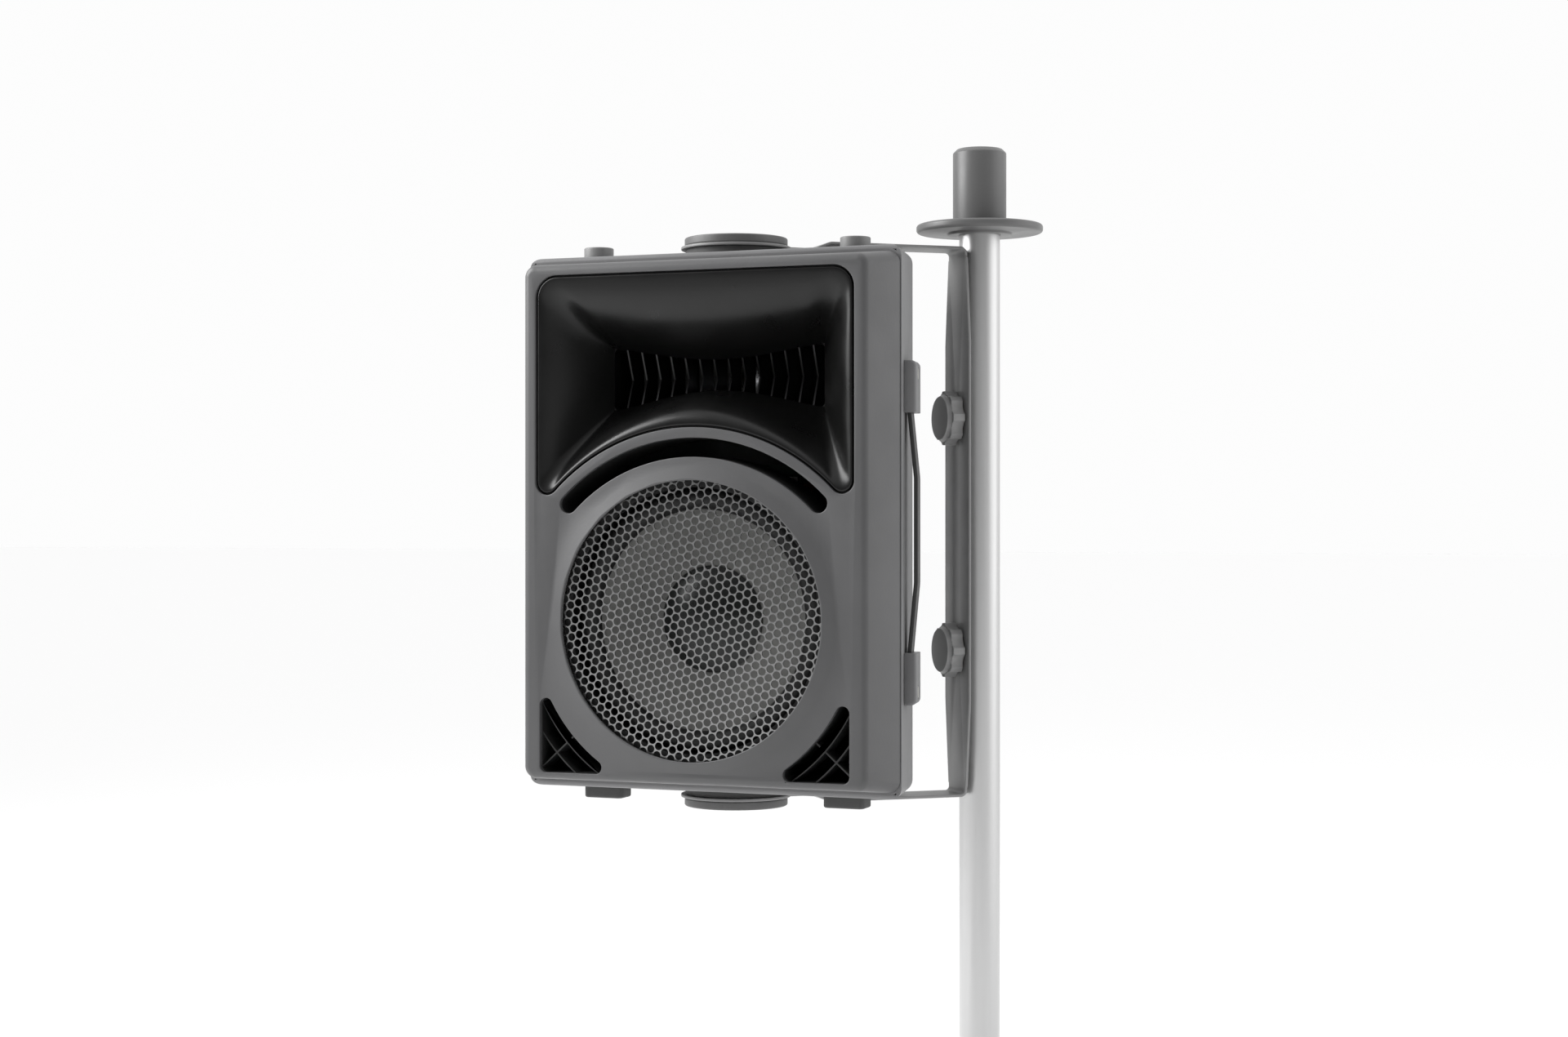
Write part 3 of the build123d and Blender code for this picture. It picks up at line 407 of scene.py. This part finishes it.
# %% Outlines of the mouth and the slot
def arc_points(centre_x, centre_z, radius, start, end, count):
    """Points on an arc, in degrees, both ends included."""
    angles = [math.radians(start + (end - start) * i / (count - 1)) for i in range(count)]
    return [(centre_x + radius * math.cos(a), centre_z + radius * math.sin(a)) for a in angles]


def even_run(points, count):
    """Resamples a run of points to a count of evenly spaced ones, without the last."""
    lengths = [0.0]
    for first, second in zip(points, points[1:]):
        lengths.append(lengths[-1] + math.dist(first, second))
    run, segment = [], 0
    for i in range(count):
        target = lengths[-1] * i / count
        while lengths[segment + 1] < target:
            segment += 1
        part = (target - lengths[segment]) / max(lengths[segment + 1] - lengths[segment], 1e-9)
        (x0, z0), (x1, z1) = points[segment], points[segment + 1]
        run.append((x0 + (x1 - x0) * part, z0 + (z1 - z0) * part))
    return run


def joined_runs(*runs):
    """One ring from the four runs, each evenly spaced."""
    return [point for run, count in zip(runs, RUNS) for point in even_run(run, count)]


def mouth_ring(inset):
    """The mouth's outline moved inwards by an inset."""
    half, top, radius = MOUTH_HALF_W - inset, MOUTH_TOP - inset, MOUTH_CORNER - inset
    leg, arc = LEG_CORNER - inset, ARC_R + inset
    leg_x = half - leg
    leg_z = ARC_Z + math.sqrt((arc + leg) ** 2 - leg_x ** 2)
    lean = math.degrees(math.atan2(leg_z - ARC_Z, leg_x))
    turn = (lean - 180) / 2
    corner_x, corner_z = half - radius, top - radius
    top_run = (arc_points(-corner_x, corner_z, radius, 135, 90, 8)
               + arc_points(corner_x, corner_z, radius, 90, 45, 8))
    right_run = (arc_points(corner_x, corner_z, radius, 45, 0, 8)
                 + arc_points(leg_x, leg_z, leg, 0, turn, 10))
    arc_run = (arc_points(leg_x, leg_z, leg, turn, lean - 180, 10)
               + arc_points(0, ARC_Z, arc, lean, 180 - lean, 90)
               + arc_points(-leg_x, leg_z, leg, -lean, -180 - turn, 10))
    left_run = [(-x, z) for x, z in reversed(right_run)]
    return joined_runs(top_run, right_run, arc_run, left_run)


def slot_ring(outset=0.0):
    """The bow-tie slot's outline."""
    half, high = SLOT_HALF_W + outset, SLOT_HALF_H + outset
    steps = 40

    def bow(bulge, side, share):
        swell = math.cos(math.pi / 2 * (2 * share - 1)) ** 1.3
        return (half * (2 * share - 1), SLOT_Z + side * (high - bulge * swell))

    top_run = [bow(BULGE_ABOVE, 1, i / steps) for i in range(steps + 1)]
    arc_run = [bow(BULGE_BELOW, -1, 1 - i / steps) for i in range(steps + 1)]
    return joined_runs(top_run, (top_run[-1], arc_run[0]), arc_run, (arc_run[-1], top_run[0]))


# %% How far the lip runs flat before it turns back
ROLL = (30.0, 9.0, 17.0, 9.0)


def roll_at(step):
    """The roll at one point of a ring, eased from each run's middle to the next."""
    total, start, blend, weight = sum(RUNS), 0, 0.0, 0.0
    for roll, count in zip(ROLL, RUNS):
        middle = start + count / 2
        away = abs((step - middle + total / 2) % total - total / 2) / (count * 0.62)
        share = max(0.0, 1 - away) ** 1.5 + 1e-4
        blend += roll * share
        weight += share
        start += count
    return blend / weight


# %% The horn's rings
def flare(mouth, slot, front, back, count):
    """Rings from the mouth's edge to the slot: each point follows a curve that starts flat along the
    face, turns over the roll and then runs straight back to the slot."""
    rows = []
    for i in range(count + 1):
        t = (i / count) ** 1.25
        start, turn, end = (1 - t) ** 2, 2 * t * (1 - t), t ** 2
        row = []
        for step, ((mouth_x, mouth_z), (slot_x, slot_z)) in enumerate(zip(mouth, slot)):
            reach = math.dist((mouth_x, mouth_z), (slot_x, slot_z))
            roll = min(roll_at(step) / reach, 0.8)
            x = (start + turn * (1 - roll)) * mouth_x + (turn * roll + end) * slot_x
            z = (start + turn * (1 - roll)) * mouth_z + (turn * roll + end) * slot_z
            row.append(at(x, (start + turn) * front + end * back, z))
        rows.append(row)
    return rows


def flat_ring(ring, depth):
    return [at(x, depth, z) for x, z in ring]


LIP_DEPTH = 0.5
FLANGE_FRONT = 4.4
FLANGE_BACK = 6.4
FLANGE_REACH = 3.0
WALL = 2.4
inner = flare(mouth_ring(MOUTH_GAP + 0.8), slot_ring(), LIP_DEPTH, SLOT_DEPTH, 30)
outer = flare(mouth_ring(MOUTH_GAP), slot_ring(WALL), FLANGE_BACK, SLOT_DEPTH, 14)
horn_rows = [flat_ring(mouth_ring(MOUTH_GAP + 0.2), LIP_DEPTH + 0.25)] + inner + outer[::-1]
horn_rows += [
    flat_ring(mouth_ring(-FLANGE_REACH), FLANGE_BACK),
    flat_ring(mouth_ring(-FLANGE_REACH), FLANGE_FRONT),
    flat_ring(mouth_ring(MOUTH_GAP), FLANGE_FRONT),
    flat_ring(mouth_ring(MOUTH_GAP), LIP_DEPTH + 0.8),
]
finish_piece(new_piece("horn_flare", ring_mesh("horn_flare", horn_rows, close_rows=True)), "horn", 55)

# %% [markdown]
# ## The grille
# The grille is a sheet of steel punched with round holes in a hexagonal pattern, slightly domed and
# trapped behind the collar. Nine hundred holes are a job for Geometry Nodes: one six-sided cell with a
# round hole is instanced on a hexagonal lattice, the cells are welded to a sheet, the sheet's outer
# cells are pressed in against the rim circle, and the whole is domed. Cutting the holes with a boolean
# would give the same sheet, but far more slowly and with worse faces.

# %% Grille sizes, in millimetres
WOOFER_Z = -65.5
HOLE_PITCH = 5.95
HOLE_R = 2.66
SHEET_R = 94.6
SHEET_THICK = 1.0
SHEET_TURN = 18.0
DOME = 1.2
SHEET_FRONT = -0.1
LATTICE = 36


# %% The perforated sheet's node tree
def steps(tree, *chain):
    """A chain of arithmetic: each step after the first is (operation, number or socket)."""
    value = chain[0]
    for operation, *rest in chain[1:]:
        inputs = {"value": value, **{f"value{i + 1}": v for i, v in enumerate(rest)}}
        value = node(tree, "ShaderNodeMath", {"operation": operation}, **inputs).outputs[0]
    return value


def hexagon_cell(tree, given):
    """A twelve-sided hole whose edge is drawn out to the hexagon round it."""
    hole = node(tree, "GeometryNodeMeshCircle", vertices=12, radius=given["Hole radius"])
    grown = node(tree, "GeometryNodeExtrudeMesh", {"mode": "EDGES"}, mesh=hole.outputs[0], offset_scale=0.0)
    place = node(tree, "GeometryNodeInputPosition").outputs[0]
    spot = node(tree, "ShaderNodeSeparateXYZ", vector=place)
    angle = node(tree, "ShaderNodeMath", {"operation": "ARCTAN2"}, value=spot.outputs["Y"],
                 value1=spot.outputs["X"]).outputs[0]
    sector = math.pi / 3
    nudge = sector / 2 + 0.001
    lean = steps(tree, angle, ("ADD", nudge), ("FLOORED_MODULO", sector), ("SUBTRACT", nudge), ("COSINE",))
    reach = steps(tree, given["Pitch"], ("MULTIPLY", 0.5), ("DIVIDE", lean))
    outward = node(tree, "ShaderNodeVectorMath", {"operation": "NORMALIZE"}, vector=place)
    corner = node(tree, "ShaderNodeVectorMath", {"operation": "SCALE"}, vector=outward.outputs[0],
                  scale=reach)
    return node(tree, "GeometryNodeSetPosition", geometry=grown.outputs["Mesh"],
                selection=grown.outputs["Top"], position=corner.outputs[0]).outputs[0]


def lattice_points(tree, given):
    """Rows of points, every other row shifted by half a pitch, kept within the sheet."""
    number = node(tree, "GeometryNodeInputIndex").outputs[0]
    row = steps(tree, number, ("DIVIDE", float(LATTICE)), ("FLOOR",))
    shift = steps(tree, row, ("FLOORED_MODULO", 2.0), ("MULTIPLY", 0.5))
    x = steps(tree, number, ("FLOORED_MODULO", float(LATTICE)), ("ADD", shift), ("SUBTRACT", LATTICE / 2),
              ("MULTIPLY", given["Pitch"]))
    y = steps(tree, row, ("SUBTRACT", float(LATTICE // 2 + 2)), ("MULTIPLY", given["Pitch"]),
              ("MULTIPLY", math.sqrt(3) / 2))
    where = node(tree, "ShaderNodeCombineXYZ", x=x, y=y)
    points = node(tree, "GeometryNodePoints", count=LATTICE * (LATTICE + 5), position=where.outputs[0])
    place = node(tree, "GeometryNodeInputPosition").outputs[0]
    far = node(tree, "ShaderNodeVectorMath", {"operation": "LENGTH"}, vector=place).outputs["Value"]
    limit = steps(tree, given["Pitch"], ("MULTIPLY", 0.3), ("ADD", given["Sheet radius"]))
    outside = node(tree, "FunctionNodeCompare", {"data_type": "FLOAT", "operation": "GREATER_THAN"},
                   a=far, b=limit)
    return node(tree, "GeometryNodeDeleteGeometry", {"domain": "POINT"}, geometry=points.outputs[0],
                selection=outside.outputs[0]).outputs[0]


def pressed_and_domed(tree, given, sheet):
    """Presses the outer cells in to the rim circle, turns the pattern and domes the sheet."""
    place = node(tree, "GeometryNodeInputPosition").outputs[0]
    distance = node(tree, "ShaderNodeVectorMath", {"operation": "LENGTH"}, vector=place).outputs["Value"]
    shrink = steps(tree, given["Sheet radius"], ("DIVIDE", distance), ("MINIMUM", 1.0))
    pressed = node(tree, "ShaderNodeVectorMath", {"operation": "SCALE"}, vector=place, scale=shrink)
    turned = node(tree, "ShaderNodeVectorRotate", {"rotation_type": "Z_AXIS"}, vector=pressed.outputs[0],
                  angle=given["Turn"])
    fall = steps(tree, distance, ("DIVIDE", given["Sheet radius"]), ("MINIMUM", 1.0), ("POWER", 2.0),
                 ("SUBTRACT", 1.0), ("MULTIPLY", -1.0), ("MULTIPLY", given["Dome"]))
    lift = node(tree, "ShaderNodeCombineXYZ", z=fall)
    return node(tree, "GeometryNodeSetPosition", geometry=sheet, position=turned.outputs[0],
                offset=lift.outputs[0]).outputs[0]


def perforated_sheet():
    """The whole tree: a round perforated sheet in the XY plane that faces +Z."""
    tree = bpy.data.node_groups.new("perforated_sheet", "GeometryNodeTree")
    sizes = {"Pitch": HOLE_PITCH * MM, "Hole radius": HOLE_R * MM, "Sheet radius": SHEET_R * MM,
             "Dome": DOME * MM, "Turn": math.radians(SHEET_TURN)}
    for label, size in sizes.items():
        entry = tree.interface.new_socket(label, in_out="INPUT", socket_type="NodeSocketFloat")
        entry.default_value = size
    finish = tree.interface.new_socket("Finish", in_out="INPUT", socket_type="NodeSocketMaterial")
    tree.interface.new_socket("Geometry", in_out="OUTPUT", socket_type="NodeSocketGeometry")
    given = node(tree, "NodeGroupInput").outputs
    cells = node(tree, "GeometryNodeInstanceOnPoints", points=lattice_points(tree, given),
                 instance=hexagon_cell(tree, given))
    real = node(tree, "GeometryNodeRealizeInstances", geometry=cells.outputs[0])
    welded = node(tree, "GeometryNodeMergeByDistance", geometry=real.outputs[0], distance=0.05 * MM)
    domed = pressed_and_domed(tree, given, welded.outputs[0])
    clean = node(tree, "GeometryNodeMergeByDistance", geometry=domed, distance=0.05 * MM)
    whole = node(tree, "GeometryNodeRealizeInstances", geometry=clean.outputs[0])
    painted = node(tree, "GeometryNodeSetMaterial", geometry=whole.outputs[0], material=given["Finish"])
    node(tree, "NodeGroupOutput", geometry=painted.outputs[0])
    return tree, finish.identifier


grille = new_piece("perforated_grille", bpy.data.meshes.new("perforated_grille"))
sheet_tree, finish_socket = perforated_sheet()
punched = grille.modifiers.new("punched", "NODES")
punched.node_group = sheet_tree
punched[finish_socket] = FINISH["grille_steel"]
flat_sheet = bake_modifiers(grille)
print("perforated sheet, faces:", len(flat_sheet.polygons))


# %% Thickness, rim and place of the grille
def turned_mesh(name, profile, height, depth=0.0, around=144):
    """A mesh turned about an axis that runs straight back: the profile is (radius, depth) pairs."""
    angles = [2 * math.pi * i / around for i in range(around)]
    rows = [[at(radius * math.cos(a), depth + back, height + radius * math.sin(a)) for a in angles]
            for radius, back in profile]
    return ring_mesh(name, rows, close_rows=True)


# The flat tree's up is the speaker's up, and its +Z is the way the speaker faces.
STAND_UP = Matrix(((1, 0, 0, 0), (0, 0, -1, 0), (0, 1, 0, 0), (0, 0, 0, 1)))
flat_sheet.transform(Matrix.Translation(at(0, SHEET_FRONT, WOOFER_Z)) @ STAND_UP)
thickness = grille.modifiers.new("thickness", "SOLIDIFY")
thickness.thickness = SHEET_THICK * MM
thickness.offset = -1
sheet_mesh = bake_modifiers(grille)
rim_profile = ((SHEET_R - 0.8, 0.0), (SHEET_R - 0.2, -0.3), (SHEET_R + 0.6, 0.0), (SHEET_R + 1.0, 0.8),
               (SHEET_R + 1.0, 4.0), (SHEET_R, 4.0), (SHEET_R - 0.1, 1.2), (SHEET_R - 0.8, 0.9))
rim = turned_mesh("grille_rim", rim_profile, WOOFER_Z, SHEET_FRONT)
both = bmesh.new()
both.from_mesh(sheet_mesh)
both.from_mesh(rim)
both.to_mesh(sheet_mesh)
both.free()
finish_piece(grille, "grille", 35)

# %% [markdown]
# ## Rounded mouldings
# Nothing moulded or pressed has a knife edge: a radius of half a millimetre or so catches a thin line
# of light along each corner, and that line is what tells the eye the size of the thing. Copies of the
# CAD nodes get that radius from a Bevel modifier.

# %% Corner radii, in millimetres
CORNERS = {
    "front_frame": 0.7, "yoke": 0.5, "handle_cap_upper": 0.4, "handle_cap_lower": 0.4, "feet": 0.8,
    "top_buttons": 0.6, "top_wheel": 0.5, "bottom_wheel": 0.5, "upper_knob": 0.5, "lower_knob": 0.5,
    "corner_port_left": 0.3, "corner_port_right": 0.3, "spigot_sleeve": 0.6, "spigot_flange": 1.0,
    "handle_strap": 0.6,
}
for node_name, radius in CORNERS.items():
    rounded_copy(node_name, radius)

# %% [markdown]
# ## Floor
# A plain white floor, big enough to have no edge in view. A faint glow of its own brings it level with
# the white behind it, so no horizon shows.

# %% Floor
FLOOR_REACH = 30.0
FLOOR_GLOW = 0.05
floor_corners = [(x * FLOOR_REACH, y * FLOOR_REACH, 0) for x, y in ((-1, -1), (1, -1), (1, 1), (-1, 1))]
floor_mesh = bpy.data.meshes.new("studio_floor")
floor_mesh.from_pydata(floor_corners, [], [(0, 1, 2, 3)])
floor = new_piece("studio_floor", floor_mesh)
white, white_tree, white_shader = new_material("white_floor", "#f0f0f0", 0.9)
white_shader.inputs["Emission Color"].default_value = (1, 1, 1, 1)
white_shader.inputs["Emission Strength"].default_value = FLOOR_GLOW
floor_mesh.materials.append(white)
